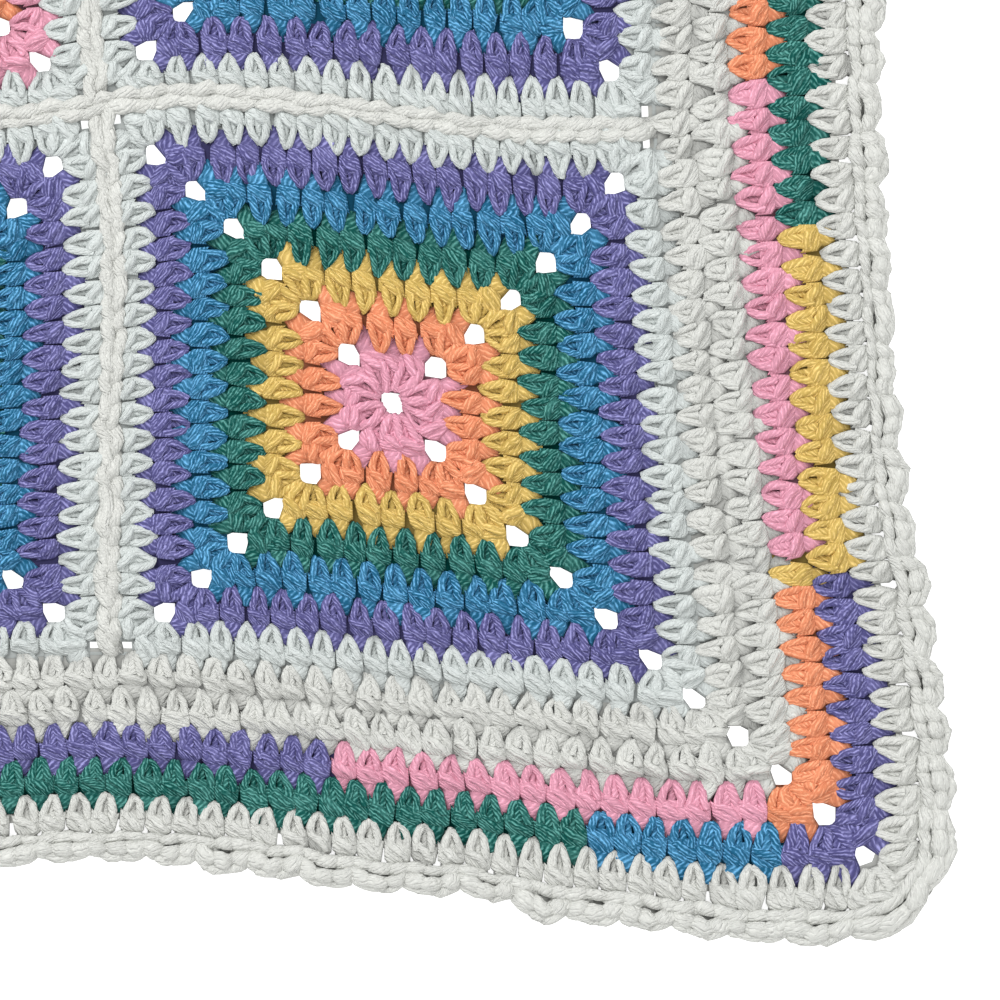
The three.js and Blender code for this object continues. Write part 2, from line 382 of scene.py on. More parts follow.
def double_crochet(closed=False):
    """One stitch, from its tip at outward = 0 to its cap at STITCH_LENGTH and its tooth beyond.

    The legs of a closed one have no slit between them.
    """
    left_leg = [(-0.15, 0.3, 1.8), (-1.0, 1.9, 2.5), (-1.75, 4.2, 2.9), (-2.0, 7.2, 2.6)]
    right_leg = [(0.15, 0.3, 1.8), (1.0, 1.9, 2.5), (1.75, 4.2, 2.9), (2.0, 7.2, 2.6)]
    leg_radii = [0.95, 1.05, 1.15, 1.2]
    wrap = [(2.5, 6.2, 2.4), (1.0, 6.9, 3.3), (-0.8, 8.3, 3.4), (-2.4, 9.8, 2.4)]
    wrap_radii = [1.0, 1.3, 1.3, 1.0]
    tooth = [(0.0, 9.5, 1.6), (0.0, 12.5, 1.9), (0.1, 16.4, 1.4)]
    if closed:
        post = [(0.0, 0.9, 2.4), (0.0, 6.5, 3.0)]
        tooth_radii = [2.7, 3.0, 1.5]
        cap_width = 3.7
    else:
        post = [(0.0, 1.4, 1.9), (0.0, 6.5, 2.3)]
        tooth_radii = [2.8, 3.2, 1.8]
        cap_width = 3.56
    cap_slant = random.normal(0.7, 0.2)
    return joined([
        strand(shaken(left_leg, STITCH_SHAKE), leg_radii, rings=5,
               slant=random.normal(-0.5, 0.15)),
        strand(shaken(right_leg, STITCH_SHAKE), leg_radii, rings=5,
               slant=random.normal(-0.3, 0.15)),
        dome(width=random.normal(cap_width, 0.08), near=random.normal(5.3, 0.2),
             far=random.normal(11.1, 0.2), top=random.normal(3.3, 0.12),
             lopsided=random.normal(0.5, 0.2), slant=cap_slant),
        strand(shaken(wrap, STITCH_SHAKE), wrap_radii, rings=5, slant=random.normal(-0.2, 0.2)),
        strand(post, [1.0, 1.2], rings=2, flat=0.5, slant=0.6),
        strand(shaken(tooth, STITCH_SHAKE), tooth_radii, rings=3, faces=3, flat=0.35, slant=0.4),
    ])


OPEN_VARIANTS = [double_crochet() for _ in range(EACH_VARIANTS)]
CLOSED_VARIANTS = [double_crochet(closed=True) for _ in range(EACH_VARIANTS)]
MIXED_VARIANTS = CLOSED_VARIANTS[:CLOSED_IN_MIX] + OPEN_VARIANTS[:OPEN_IN_MIX]

# How uneven placed stitches are: standard deviations of their lean, their length, breadth and
# height as shares, and their place in millimetres.
LEAN_SPREAD = 0.035
LENGTH_SPREAD = 0.02
BREADTH_SPREAD = 0.035
HEIGHT_SPREAD = 0.07
PLACE_SPREAD = 0.14


def placed(template, base, top, width):
    """Copies of a template's vertices, each from its base to its top, a little uneven."""
    count = len(base)
    reach = top - base
    length = np.linalg.norm(reach, axis=1)
    straight = reach / length[:, None]
    lean = random.normal(0, LEAN_SPREAD, count)
    outward = np.stack([straight[:, 0] + lean * straight[:, 1],
                        straight[:, 1] - lean * straight[:, 0]], axis=1)
    across = np.stack([outward[:, 1], -outward[:, 0]], axis=1)
    stretch = length / STITCH_LENGTH * random.normal(1, LENGTH_SPREAD, count)
    breadth = width * random.normal(1, BREADTH_SPREAD, count)
    height = random.normal(1, HEIGHT_SPREAD, count)
    nudge = random.normal(0, PLACE_SPREAD, (count, 2))
    s = template[:, 0]
    t = template[:, 1]
    z = template[:, 2]
    flat = ((base + nudge)[:, None, :]
            + (t[None, :] * stretch[:, None])[..., None] * outward[:, None, :]
            + (s[None, :] * breadth[:, None])[..., None] * across[:, None, :])
    tall = np.maximum(z[None, :] * height[:, None], 0.0)
    return np.concatenate([flat, tall[..., None]], axis=2)


def clear_of_holes(points, lines):
    """Points (N, 2) pushed out of the rounded corner holes on the given lines."""
    cleared = np.abs(points)
    for line in lines:
        apart = cleared - line
        reach = np.maximum((apart ** 4).sum(axis=1) ** 0.25, 1e-6)
        inside = reach < HOLE_CLEARANCE
        cleared[inside] = line + apart[inside] * (HOLE_CLEARANCE / reach[inside])[:, None]
    return cleared * np.where(points < 0, -1, 1)


class Yarnwork:
    """Gathers placed strands and makes one mesh of them."""

    def __init__(self):
        self.vertices = []
        self.quads = []
        self.uv = []
        self.slots = []
        self.count = 0

    def add(self, vertices, quads, uv, slots):
        """vertices (N, n, 3) of N copies, quads (m, 4), uv (m, 4, 2), slots (N,)."""
        copies, each = vertices.shape[:2]
        shift = self.count + each * np.arange(copies)
        self.vertices.append(vertices.reshape(-1, 3))
        self.quads.append((quads[None] + shift[:, None, None]).reshape(-1, 4))
        own_yarn = COPY_START * random.random((copies, 1, 1, 2))
        self.uv.append((uv[None] + own_yarn).reshape(-1, 4, 2))
        self.slots.append(np.repeat(slots, len(quads)))
        self.count += copies * each

    def add_stitches(self, base, top, slots, breadth=1.0, variants=OPEN_VARIANTS):
        """Stitches from base (N, 2) to top (N, 2) in the even grid, slots their materials."""
        count = len(base)
        width = np.full(count, breadth)
        width[[0, -1]] *= CORNER_BREADTH
        which = random.integers(0, len(variants), count)
        for number, (template, quads, uv) in enumerate(variants):
            mine = which == number
            if mine.any():
                vertices = placed(template, base[mine], top[mine], width[mine])
                self.add(vertices, quads, uv, slots[mine])

    def mesh(self, name, unevenness=0.2, holes=None):
        """One mesh of it all; holes is a middle and the lines of the corner holes kept clear."""
        vertices = crumple(np.vstack(self.vertices), unevenness)
        if holes is not None:
            middle, lines = holes
            vertices[:, :2] = clear_of_holes(vertices[:, :2] - middle, lines) + middle
        vertices[:, :2] = clear_of_holes(vertices[:, :2], [border_line(0)])
        return mesh_object(name, laid(vertices), np.vstack(self.quads),
                           np.concatenate(self.uv), np.concatenate(self.slots))


def mesh_object(name, vertices, quads, uv, slots):
    """A mesh of quads in metres, with all the yarns' materials and a slot for each quad."""
    mesh = bpy.data.meshes.new(name)
    mesh.vertices.add(len(vertices))
    mesh.vertices.foreach_set("co", vertices.astype(np.float32).ravel())
    mesh.loops.add(quads.size)
    mesh.loops.foreach_set("vertex_index", quads.astype(np.int32).ravel())
    mesh.polygons.add(len(quads))
    mesh.polygons.foreach_set("loop_start", np.arange(0, quads.size, 4, dtype=np.int32))
    mesh.polygons.foreach_set("material_index", slots.astype(np.int32))
    mesh.polygons.foreach_set("use_smooth", np.ones(len(quads), bool))
    layer = mesh.uv_layers.new(name="Yarn")
    layer.data.foreach_set("uv", uv.astype(np.float32).ravel())
    for material in MATERIALS:
        mesh.materials.append(material)
    mesh.update(calc_edges=True)
    made = bpy.data.objects.new(name, mesh)
    bpy.context.scene.collection.objects.link(made)
    return made


# ---- Materials -----------------------------------------------------------------------------
# The noises in the yarn: how fine they are across its plies and along the strand, and their
# detail. They make the plies wobble, break them into dashes, and add grain and lighter patches.
WOBBLE_NOISE = (0.45, 0.45, 1.0)
DASH_NOISE = (1.1, 0.7, 1.0)
GRAIN_NOISE = (2.2, 1.4, 2.0)
PATCH_NOISE = (0.15, 0.15, 1.0)
PLY_SHARPNESS = 1.8
DASH_FROM = 0.38
DASH_TO = 0.62
DASH_STRENGTH = 0.85
LEAST_STRENGTH = 0.1
PATCH_STRENGTH = 0.5

# The heights at which the creases' colour ends and the crests' is full, without mottling and as
# a share of it, and how deep the relief is, in metres. Along the plies the creases' darker colour
# is painted shade and the crests' lighter one painted highlight; grain and patches are the yarn's
# own uneven tone.
CREASE_HEIGHT = 0.24
CREASE_HEIGHT_MOTTLED = 0.45
CREST_HEIGHT = 0.92
CREST_HEIGHT_MOTTLED = 0.5
RELIEF_DEPTH = 0.0006
YARN_ROUGHNESS = 0.9

# Down between the stitches, where little light gets in, yarn darkens between these heights: a
# painted shade.
VALLEY_FLOOR = 1.2
VALLEY_TOP = 3.0


def linear(colour):
    """An sRGB colour, 0 to 255, as Blender's linear one."""
    share = np.array(colour) / 255.0
    return np.where(share <= 0.04045, share / 12.92, ((share + 0.055) / 1.055) ** 2.4)


class NodeWork:
    """Adds the nodes of one material."""

    def __init__(self, material):
        self.nodes = material.node_tree.nodes
        self.links = material.node_tree.links

    def maths(self, operation, first, second=0.0):
        """An operation on two numbers or outputs."""
        node = self.nodes.new("ShaderNodeMath")
        node.operation = operation
        for socket, value in zip(node.inputs, (first, second)):
            if isinstance(value, (int, float)):
                socket.default_value = value
            else:
                self.links.new(value, socket)
        return node.outputs[0]

    def noise(self, plies, along, kind):
        """Noise of a kind over the yarn, from the places across its plies and along it."""
        fine_across, fine_along, detail = kind
        place = self.nodes.new("ShaderNodeCombineXYZ")
        self.links.new(self.maths("MULTIPLY", plies, fine_across), place.inputs[0])
        self.links.new(self.maths("MULTIPLY", along, fine_along), place.inputs[1])
        node = self.nodes.new("ShaderNodeTexNoise")
        node.inputs["Scale"].default_value = 1.0
        node.inputs["Detail"].default_value = detail
        self.links.new(place.outputs[0], node.inputs["Vector"])
        return node.outputs["Fac"]

    def spread(self, value, low, high):
        """A value's share of the way from low to high."""
        node = self.nodes.new("ShaderNodeMapRange")
        node.inputs["From Min"].default_value = low
        node.inputs["From Max"].default_value = high
        self.links.new(value, node.inputs["Value"])
        return node.outputs[0]

    def parts(self, vector):
        """The three outputs of a vector's parts."""
        node = self.nodes.new("ShaderNodeSeparateXYZ")
        self.links.new(vector, node.inputs[0])
        return node.outputs

    def blend(self, first, second, share):
        """From a first colour to a second, which may be another node's output, by a share."""
        node = self.nodes.new("ShaderNodeMix")
        node.data_type = "RGBA"
        node.inputs["A"].default_value = (*np.clip(first, 0, 1), 1)
        if isinstance(second, np.ndarray):
            node.inputs["B"].default_value = (*np.clip(second, 0, 1), 1)
        else:
            self.links.new(second, node.inputs["B"])
        self.links.new(share, node.inputs["Factor"])
        return node.outputs["Result"]


def yarn(name, colour, crease, crest, lift=0.0, bump=0.6, mottle=0.5, sheen=0.15, valley_shade=0.3):
    """Plied yarn: slanting plies in short dashes and a fine grain, from the strand's coordinates.

    Creases are crease times the colour and crests crest times it, plus lift: along the plies a
    painted shade in the creases and a painted highlight on the crests, mixed with the grain's and
    patches' own uneven tone. Down between the stitches a painted shade darkens it to a share of
    its colour.
    """
    material = bpy.data.materials.new(name)
    material.use_nodes = True
    work = NodeWork(material)
    shader = work.nodes["Principled BSDF"]
    shader.inputs["Roughness"].default_value = YARN_ROUGHNESS
    shader.inputs["Specular IOR Level"].default_value = sheen

    coordinates = work.nodes.new("ShaderNodeUVMap")
    coordinates.uv_map = "Yarn"
    along, plies, _ = work.parts(coordinates.outputs["UV"])
    plies = work.maths("ADD", plies, work.noise(plies, along, WOBBLE_NOISE))
    wave = work.maths("SINE", work.maths("MULTIPLY", plies, 2 * math.pi))
    crests = work.maths("ADD", work.maths("MULTIPLY", wave, 0.5), 0.5)
    ply = work.maths("POWER", crests, PLY_SHARPNESS)
    dashes = work.spread(work.noise(plies, along, DASH_NOISE), DASH_FROM, DASH_TO)
    strength = work.maths("ADD", work.maths("MULTIPLY", dashes, DASH_STRENGTH), LEAST_STRENGTH)
    streak = work.maths("MULTIPLY", ply, strength)
    grain = work.maths("MULTIPLY", work.noise(plies, along, GRAIN_NOISE), mottle)
    patches = work.noise(plies, along, PATCH_NOISE)
    height = work.maths("ADD", work.maths("ADD", streak, grain),
                        work.maths("MULTIPLY", patches, PATCH_STRENGTH))

    base = linear(colour)
    height_share = work.spread(height, CREASE_HEIGHT + CREASE_HEIGHT_MOTTLED * mottle,
                               CREST_HEIGHT + CREST_HEIGHT_MOTTLED * mottle)
    # Painted shade in the ply creases and painted highlight on the crests, with the yarn's own
    # grain and patches.
    ply_shade_and_tone = work.blend(base * crease, base * crest + lift, height_share)
    # Painted shade: low down between the stitches the colour darkens towards a share of itself.
    place = work.nodes.new("ShaderNodeTexCoord")
    level = work.parts(place.outputs["Object"])["Z"]
    open_to_light = work.spread(level, VALLEY_FLOOR * MM, VALLEY_TOP * MM)
    shaded = work.blend(base * valley_shade, ply_shade_and_tone, open_to_light)
    work.links.new(shaded, shader.inputs["Base Color"])

    relief = work.nodes.new("ShaderNodeBump")
    relief.inputs["Strength"].default_value = bump
    relief.inputs["Distance"].default_value = RELIEF_DEPTH
    work.links.new(height, relief.inputs["Height"])
    work.links.new(relief.outputs[0], shader.inputs["Normal"])
    return material


# Each yarn's colour, and how its creases and crests differ from it: darker creases as painted
# shade, lighter crests and lift as painted highlight. The last round of a square is a cooler
# white than the border.
YARN_COLOURS = {
    "pink": {"colour": (234, 163, 185), "crease": 0.68, "crest": 1.05, "lift": 0.05},
    "orange": {"colour": (250, 153, 111), "crease": 0.64, "crest": 1.15, "lift": 0.06},
    "yellow": {"colour": (231, 196, 106), "crease": 0.6, "crest": 1.0, "lift": 0.08},
    "green": {"colour": (6, 102, 94), "crease": 0.5, "crest": 1.9, "lift": 0.12},
    "blue": {"colour": (40, 131, 177), "crease": 0.42, "crest": 1.45, "lift": 0.13},
    "purple": {"colour": (115, 112, 180), "crease": 0.42, "crest": 1.05, "lift": 0.14},
    "white": {"colour": (211, 212, 207), "crease": 0.85, "crest": 1.05, "bump": 0.7,
              "mottle": 1.0},
    "cool_white": {"colour": (207, 213, 211), "crease": 0.85, "crest": 1.05, "bump": 0.7,
                   "mottle": 1.0},
}
COLOUR_NAMES = list(YARN_COLOURS)

# The ground under the stitches has these shares of their colour, and is plainer: a copy of each
# yarn darkened as painted shade for the gaps between the stitches.
GROUND_SHADE = 0.45
WHITE_GROUND_SHADE = 0.74
yarns = []
painted_shade_yarns = []
for colour_name, looks in YARN_COLOURS.items():
    ground_shade = WHITE_GROUND_SHADE if "white" in colour_name else GROUND_SHADE
    painted_shade_colour = tuple(ground_shade * channel for channel in looks["colour"])
    yarns.append(yarn(f"{colour_name}_yarn", **looks))
    painted_shade_yarns.append(yarn(f"{colour_name}_yarn_painted_shade", painted_shade_colour, crease=0.9, crest=1.1,
                           bump=0.1, sheen=0, valley_shade=1.0))
MATERIALS = yarns + painted_shade_yarns


def slot_of(colour_name, painted_shade=False):
    """The place of a yarn, or of its ground copy darkened with painted shade, in MATERIALS."""
    return COLOUR_NAMES.index(colour_name) + (len(COLOUR_NAMES) if painted_shade else 0)


# The colours of a square's rounds from its centre out, and those of the middle square.
RAINBOW = ["pink", "orange", "yellow", "green", "blue", "purple", "cool_white"]
TURNED_ROUND = ["purple", "blue", "green", "yellow", "orange", "pink", "cool_white"]


# ---- The stitches of a round ---------------------------------------------------------------
def round_stitches(inner_line, outer_line, count, inset, from_centre=False):
    """Base and top of the stitches along the top side of a round, from left to right.

    The last two at each end are worked into the corner hole on the inner line. From the centre,
    all start round its hole.
    """
    reach = outer_line - inset
    x = np.linspace(-reach, reach, count)
    if inset < LAST_STITCH_INSET:
        crowd = LAST_STITCH_INSET - inset
        x[0] += crowd
        x[1] += crowd / 2
        x[-1] -= crowd
        x[-2] -= crowd / 2
    top = np.stack([x, np.full(count, outer_line + CAP_PAST_LINE)], axis=1)
    if from_centre:
        base = top * (CENTRE_RIM / np.linalg.norm(top, axis=1))[:, None]
        return base, top
    base = np.stack([x, np.full(count, inner_line + TIP_PAST_LINE)], axis=1)
    for place in (0, 1, count - 2, count - 1):
        hole = np.array([math.copysign(inner_line, x[place]), inner_line])
        direction = top[place] - hole
        base[place] = hole + direction * HOLE_RIM / np.linalg.norm(direction)
    return base, top


def square_stitches(name, centre, colours):
    """One mesh of a square's stitches, round by round from its centre out."""
    work = Yarnwork()
    for number in range(1, SQUARE_ROUNDS + 1):
        count = STITCHES_ADDED * number
        base, top = round_stitches(hole_line(number - 1), hole_line(number), count,
                                   LAST_STITCH_INSET, from_centre=number == 1)
        slots = np.full(count, slot_of(colours[number - 1]))
        breadth = BORDER_BREADTH if number == SQUARE_ROUNDS else 1.0
        for turns in range(4):
            work.add_stitches(quarter_turns(base, turns) + centre,
                              quarter_turns(top, turns) + centre, slots, breadth)
    hole_lines = [hole_line(number) for number in range(1, SQUARE_ROUNDS)]
    return work.mesh(name, holes=(centre, hole_lines))


# ---- The ground under the stitches ---------------------------------------------------------
def grid_slab(name, lines, keep, slot, shape, drop=0.0):
    """A thin closed slab of the cells between grid lines; keep and slot are asked per cell.

    shape moves the corners of the cells, and drop lowers the slab.
    """
    count = len(lines)
    middle = (lines[:-1] + lines[1:]) / 2
    x, y = np.meshgrid(middle, middle, indexing="ij")
    kept = keep(x, y)
    slots = slot(x, y)[kept]
    i, j = np.nonzero(kept)
    first = i * count + j
    cells = np.stack([first, first + count, first + count + 1, first + 1], axis=1)

    corner_x, corner_y = np.meshgrid(lines, lines, indexing="ij")
    flat = shape(np.stack([corner_x.ravel(), corner_y.ravel()], axis=1))
    used, cells = np.unique(cells, return_inverse=True)
    cells = cells.reshape(-1, 4)
    flat = flat[used]
    lower = np.column_stack([flat, np.full(len(flat), GROUND_LOW - drop)])
    upper = np.column_stack([flat, np.full(len(flat), GROUND_HIGH - drop)])

    # An edge that only one cell has is on the rim, where the slab gets a wall.
    edges = np.stack([cells, np.roll(cells, -1, axis=1)], axis=2).reshape(-1, 2)
    edge_slot = np.repeat(slots, 4)
    ends = np.sort(edges, axis=1)
    _, first_seen, times = np.unique(ends, axis=0, return_index=True, return_counts=True)
    rim = first_seen[times == 1]
    a = edges[rim, 0]
    b = edges[rim, 1]
    walls = np.stack([a, b, b + len(flat), a + len(flat)], axis=1)

    vertices = np.vstack([lower, upper])
    quads = np.vstack([cells + len(flat), cells[:, ::-1], walls])
    all_slots = np.concatenate([slots, slots, edge_slot[rim]])
    uv = vertices[quads][..., :2] / PLY_WIDTH
    made = mesh_object(name, laid(vertices), quads, uv, all_slots)
    made.data.polygons.foreach_set("use_smooth", np.zeros(len(quads), bool))
    return made


def mirrored_lines(positive):
    """Grid lines at the given distances on both sides of the middle, in order."""
    positive = np.array(sorted(positive))
    return np.concatenate([-positive[::-1], positive])


def in_corner_hole(x, y, lines, half=HOLE_RIM):
    """Whether points are in a square corner hole on one of the lines."""
    hit = np.zeros(x.shape, bool)
    for line in lines:
        hit |= (np.abs(np.abs(x) - line) < half) & (np.abs(np.abs(y) - line) < half)
    return hit


def square_ground(name, centre, colours, open_corners):
    """The ground of a square, with openings at the seams' ends in the open corners."""
    hole_lines = [hole_line(number) for number in range(1, SQUARE_ROUNDS)]
    last_hole = hole_line(SQUARE_ROUNDS)
    positive = [HOLE_RIM] + [line + side * HOLE_RIM for line in hole_lines for side in (-1, 1)]
    positive += [last_hole - HOLE_RIM, last_hole - SEAM_END_HOLE, last_hole + SEAM_END_HOLE,
                 SQUARE_HALF + GROUND_UNDERLAP]
    starts = np.array([0.0] + [line + TIP_PAST_LINE for line in hole_lines])
    # Each round's ground takes its yarn darkened with painted shade.
    colour_slots = np.array([slot_of(colour, painted_shade=True) for colour in colours])

    def keep(x, y):
        opened = (np.abs(x) < HOLE_RIM) & (np.abs(y) < HOLE_RIM)
        opened |= in_corner_hole(x, y, hole_lines)
        opened |= in_corner_hole(x + centre[0], y + centre[1], [border_line(0)])
        at_corner = in_corner_hole(x, y, [last_hole], SEAM_END_HOLE)
        for side, end in open_corners:
            opened |= at_corner & (x * side > 0) & (y * end > 0)
        return ~opened

    def slot(x, y):
        ring = np.searchsorted(starts, np.maximum(np.abs(x), np.abs(y)), side="right") - 1
        return colour_slots[np.clip(ring, 0, SQUARE_ROUNDS - 1)]

    return grid_slab(name, mirrored_lines(positive), keep, slot, lambda points: points + centre)


# ---- Squares -------------------------------------------------------------------------------
def opens_at_seam(row, column, side, end):
    """Whether a square's corner has an opening beside a seam.

    side is -1 for its left corners and 1 for its right ones, and end -1 for lower and 1 for upper.
    """
    by_border_along = row == (0 if end == 1 else SQUARES - 1)
    by_border_up = column == (0 if side == -1 else SQUARES - 1)
    below_last_seam = row == SQUARES - 1 and end == 1
    return by_border_along or by_border_up or below_last_seam


for row in range(SQUARES):
    for column in range(SQUARES):
        middle_of_square = np.array([(column - 1) * SQUARE_PITCH, (1 - row) * SQUARE_PITCH])
        is_middle = row == 1 and column == 1
        order = TURNED_ROUND if is_middle else RAINBOW
        node = f"square_{row + 1}_{column + 1}"
        stitches = square_stitches(f"{node}_stitches", middle_of_square, order)
        open_corners = [(side, end) for side in (-1, 1) for end in (-1, 1)
                        if opens_at_seam(row, column, side, end)]
        ground = square_ground(f"{node}_ground", middle_of_square, order, open_corners)
        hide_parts(node)
        for piece in (stitches, ground):
            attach(piece, "root")


# ---- Border --------------------------------------------------------------------------------
# Runs of colour in stitches, clockwise from the left end of the top side. Each round's last run
# goes on past its end, and no round has as many stitches as WHOLE_ROUND.
WHOLE_ROUND = 400
BORDER_RUNS = {
    1: [("white", WHOLE_ROUND)],
    2: [("white", WHOLE_ROUND)],
    3: [("purple", 19), ("orange", 17), ("pink", 18), ("purple", 20),
        ("orange", 48), ("pink", 18), ("yellow", 1), ("orange", 11), ("pink", 16), ("purple", 20),
        ("orange", 25), ("pink", 19), ("purple", 21), ("orange", 17), ("pink", 50)],
    4: [("green", 22), ("yellow", 16), ("blue", 17), ("green", 22),
        ("green", 55), ("yellow", 13), ("purple", 14), ("blue", 7), ("green", 30),
        ("yellow", 24), ("blue", 20), ("purple", 18), ("green", 20), ("yellow", 50)],
    5: [("white", WHOLE_ROUND)],
}
COLOURED_ROUNDS = (3, 4)
BORDER_VARIANTS = {1: CLOSED_VARIANTS, 2: CLOSED_VARIANTS, 3: MIXED_VARIANTS,
                   4: MIXED_VARIANTS, 5: OPEN_VARIANTS}
BORDER_UNEVENNESS = {1: 0.35, 2: 0.35, 3: 0.2, 4: 0.2, 5: 0.2}

# The last round's caps stand in pairs, with a small gap between one pair and the next.
PAIR_SHIFT = 0.18

# The border's ground: its cells along half a side, where a round's part starts past the round's
# inner line, and how far its last two lines are short of the border's last line.
GROUND_CELLS = 18
GROUND_PAST_LINE = 2.0
GROUND_LAST_STEP = 4.0
GROUND_SHORT_BY = 1.6


def run_slots(runs, count):
    """The slots of the first stitches of a round."""
    names = [name for name, length in runs for _ in range(length)]
    return np.array([slot_of(name) for name in names[:count]])


def border_count(number):
    """How many stitches a border round has on each side."""
    return round(2 * (border_line(number) - BORDER_STITCH_INSET) / STITCH_PITCH) + 1


def border_round(number):
    """One mesh of a border round's stitches."""
    work = Yarnwork()
    inner = border_line(number - 1)
    outer = border_line(number)
    count = border_count(number)
    base, top = round_stitches(inner, outer, count, BORDER_STITCH_INSET)
    if number == BORDER_ROUNDS:
        top[:, 0] += PAIR_SHIFT * np.where(np.arange(count) % 2 == 0, -1, 1)
    slots = run_slots(BORDER_RUNS[number], 4 * count)
    for turns in range(4):
        mine = slots[turns * count:(turns + 1) * count]
        work.add_stitches(quarter_turns(base, turns), quarter_turns(top, turns), mine,
                          BORDER_BREADTH, BORDER_VARIANTS[number])
    hole_lines = [inner] if number == BORDER_ROUNDS else [inner, outer]
    return work.mesh(f"border_round_{number}", BORDER_UNEVENNESS[number],
                     (np.zeros(2), hole_lines))


def rounded_corner(points):
    """Draws a square's corners in to the border's corner radius."""
    straight = BORDER_OUTER - BORDER_CORNER_RADIUS
    past = np.abs(points) - straight
    in_corner = (past > 0).all(axis=1)
    scale = np.ones(len(points))
    scale[in_corner] = past[in_corner].max(axis=1) / np.linalg.norm(past[in_corner], axis=1)
    drawn = np.sign(points) * (straight + past * scale[:, None])
    return np.where(in_corner[:, None], drawn, points)


def slots_under_round(number, x, y):
    """The deep colours of a border round's stitches at these points."""
    reach = border_line(number) - BORDER_STITCH_INSET
    count = border_count(number)
    side = np.stack([y, x, -y, -x]).argmax(axis=0)
    along = np.choose(side, [x, -y, -x, y])
    place = np.clip(np.round((along / reach + 1) / 2 * (count - 1)), 0, count - 1).astype(int)
    # The colours of a border round's stitches at these points, darkened with painted shade.
    slots = run_slots(BORDER_RUNS[number], 4 * count)
    return slots[side * count + place] + len(COLOUR_NAMES)


def border_ground():
    """The border's ground, coloured as the stitches over it are and darkened with painted shade.
    """
    hole_lines = [border_line(number) for number in range(BORDER_ROUNDS)]
    last_line = border_line(BORDER_ROUNDS)
    edges = [line + side * HOLE_RIM for line in hole_lines for side in (-1, 1)]
    inner_steps = list(np.linspace(0, hole_lines[0] - HOLE_RIM, GROUND_CELLS + 1)[1:-1])
    rim = BORDER_INNER - GROUND_UNDERLAP
    lines = mirrored_lines(inner_steps + edges + [rim, last_line - GROUND_LAST_STEP,
                                                  last_line - GROUND_SHORT_BY])

    def keep(x, y):
        outside = np.maximum(np.abs(x), np.abs(y)) > rim
        return outside & ~in_corner_hole(x, y, hole_lines)

    def slot(x, y):
        far = np.maximum(np.abs(x), np.abs(y)) - GROUND_PAST_LINE
        slots = np.full(x.shape, slot_of("white", painted_shade=True))
        for number in COLOURED_ROUNDS:
            under = (far > hole_lines[number - 1]) & (far < hole_lines[number])
            slots[under] = slots_under_round(number, x[under], y[under])
        return slots

    return grid_slab("border_ground", lines, keep, slot, rounded_corner, BORDER_GROUND_DROP)


# ---- Edging --------------------------------------------------------------------------------
# EDGING_START is how far past the border's last line the scallops begin.
EDGING_START = 1.6
EDGING_VARIANTS = 9
EDGING_SPREAD = 0.05
EDGING_UNEVENNESS = 0.35
RIM_SHAKE = 0.2
BODY_SHAKE = 0.25
KNOT_STARTS = (-1.0, 3.7, 8.4)


def edging_template():
    """One scallop, across from 0 to SCALLOP_LENGTH, outward from the last round's caps."""
    rim = [
        [(-0.7, 3.6, 2.3), (0.7, 5.6, 2.8), (3.0, 6.9, 3.2), (5.8, 7.5, 2.8), (7.6, 7.2, 1.6)],
        [(3.6, 6.1, 1.8), (5.6, 7.0, 2.8), (8.0, 7.4, 3.2), (10.6, 7.0, 2.9), (12.2, 6.0, 1.7)],
        [(9.0, 6.4, 1.8), (10.9, 6.8, 2.7), (13.0, 5.8, 2.8), (14.4, 4.2, 2.1), (14.8, 2.8, 1.2)],
    ]
    body = [
        [(-0.8, 2.6, 1.9), (1.4, 4.2, 3.4), (3.6, 4.9, 3.5), (5.2, 5.3, 2.0)],
        [(3.6, 4.5, 2.2), (5.8, 5.2, 3.7), (8.2, 5.2, 3.7), (10.2, 4.9, 2.2)],
        [(8.6, 5.2, 2.2), (10.4, 4.9, 3.5), (12.6, 4.1, 3.3), (14.6, 2.8, 1.6)],
    ]
    knots = [[(start, 1.0, 1.8), (start + 2.0, 1.4, 3.1), (start + 4.4, 1.5, 3.0),
              (start + 6.4, 2.0, 1.7)] for start in KNOT_STARTS]
    rim_radii = [0.9, 1.35, 1.5, 1.35, 0.9]
    body_radii = [1.3, 2.15, 2.15, 1.2]
    knot_radii = [1.2, 1.95, 1.8, 1.1]
    pieces = []
    for path in rim:
        pieces.append(strand(shaken(path, RIM_SHAKE), rim_radii, rings=8,
                             slant=random.normal(-0.5, 0.3)))
    for path in body:
        pieces.append(strand(shaken(path, BODY_SHAKE), body_radii, rings=6, faces=5,
                             slant=random.normal(-0.4, 0.3)))
    for path in knots:
        pieces.append(strand(shaken(path, BODY_SHAKE), knot_radii, rings=5,
                             slant=random.normal(-0.4, 0.3)))
    return joined(pieces)


def edging_plate():
    """What lies under one scallop's strands."""
    path = [(0.0, 4.0, 1.0), (7.0, 4.6, 1.0), (14.0, 4.0, 1.0)]
    return joined([strand(path, [1.4, 2.6, 1.4], rings=4, flat=0.35)])


def edge_frame(travelled, outward):
    """Points outward of the last round, and how far its side with one corner is.

    travelled goes along the right side from its upper end down, and round the corner below.
    """
    inner_reach = border_line(BORDER_ROUNDS) + EDGING_START
    radius = BORDER_CORNER_RADIUS - (BORDER_OUTER - inner_reach)
    straight = inner_reach - radius
    quarter = radius * np.pi / 2
    on_side = travelled < 2 * straight
    angle = np.where(on_side, 0.0, (travelled - 2 * straight) / radius)
    x = straight + (radius + outward) * np.cos(angle)
    side_y = np.where(on_side, straight - travelled, -straight)
    y = side_y - (radius + outward) * np.sin(angle)
    return np.stack([x, y], axis=-1), 2 * straight + quarter


